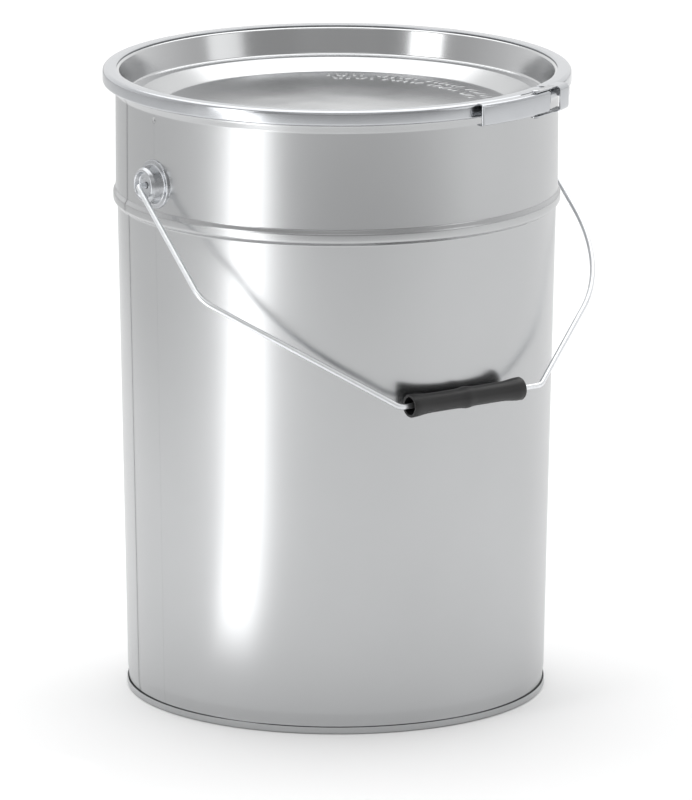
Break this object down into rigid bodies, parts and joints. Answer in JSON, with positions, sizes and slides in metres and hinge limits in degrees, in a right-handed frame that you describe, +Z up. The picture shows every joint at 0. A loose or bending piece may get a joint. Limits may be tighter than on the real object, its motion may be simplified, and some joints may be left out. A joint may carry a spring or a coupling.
{
  "type": "paint can",
  "caption": "Tall tapered tinplate paint can with recessed lid, lever-lock closing ring, pressed side ears and a wire bail handle with a plastic grip.",
  "frame": {"origin": "centre of the bottom, on the plane the can stands on", "axes": "+Z up along the can's axis, X through the two ears, -Y towards the side the bail rests on"},
  "size_m": [0.341, 0.3362, 0.4463],
  "materials": {
    "tinplate_body": "bright tinplate, blurred reflections",
    "tinplate_end": "bright tinplate",
    "seam_rubber": "cured seam compound",
    "tinplate_ear": "pressed tinplate",
    "zinc_wire": "zinc-plated wire",
    "grip_plastic": "moulded black plastic, slightly glossy",
    "tinplate_lid": "bright tinplate",
    "gasket_rubber": "foamed rubber seal",
    "zinc_ring": "zinc-plated strip, rolled",
    "zinc_fittings": "zinc-plated pressings and rivets"
  },
  "bodies": {
    "pail": {"body_shell": "tinplate_body", "bottom_end": "tinplate_end", "seam_compound": "seam_rubber", "ear_left": "tinplate_ear", "ear_right": "tinplate_ear"},
    "bail": {"bail_wire": "zinc_wire"},
    "handle_grip": {"grip": "grip_plastic"},
    "lid": {"lid_panel": "tinplate_lid", "lid_gasket": "gasket_rubber"},
    "closing_ring": {"clamp_band": "zinc_ring", "pivot_lug": "zinc_fittings", "anchor_hook": "zinc_fittings"},
    "lever": {"closing_lever": "zinc_fittings", "lever_pin": "zinc_fittings", "link_pin": "zinc_fittings"},
    "link": {"link_bracket": "zinc_fittings"}
  },
  "joints": [
    {"name": "bail_swing", "type": "hinge", "parent": "pail", "child": "bail", "pos_m": [0, 0, 0.378], "axis": [-1, 0, 0], "range_deg": [0, 262.7]},
    {"name": "grip_spin", "type": "hinge", "parent": "bail", "child": "handle_grip", "pos_m": [0, -0.15988, 0.23726], "axis": [1, 0, 0], "continuous": true},
    {"name": "lid_lift", "type": "slide", "parent": "pail", "child": "lid", "axis": [0, 0, 1], "range_m": [0, 0.12], "deforming": ["clamp_band"]},
    {"name": "ring_lift", "type": "slide", "parent": "pail", "child": "closing_ring", "axis": [0, 0, 1], "range_m": [0, 0.12], "deforming": ["clamp_band"]},
    {"name": "lever_swing", "type": "hinge", "parent": "closing_ring", "child": "lever", "pos_m": [0.07054, -0.15126, 0.436], "axis": [0, 0, 1], "range_deg": [0, 140], "deforming": ["clamp_band"]},
    {"name": "link_swing", "type": "hinge", "parent": "lever", "child": "link", "pos_m": [0.05571, -0.15733, 0.436], "axis": [0, 0, 1], "range_deg": [-126.1, 0]}
  ],
  "couplings": [
    {"joint": "link_swing", "follows": "lever_swing", "ratio": -0.9}
  ]
}
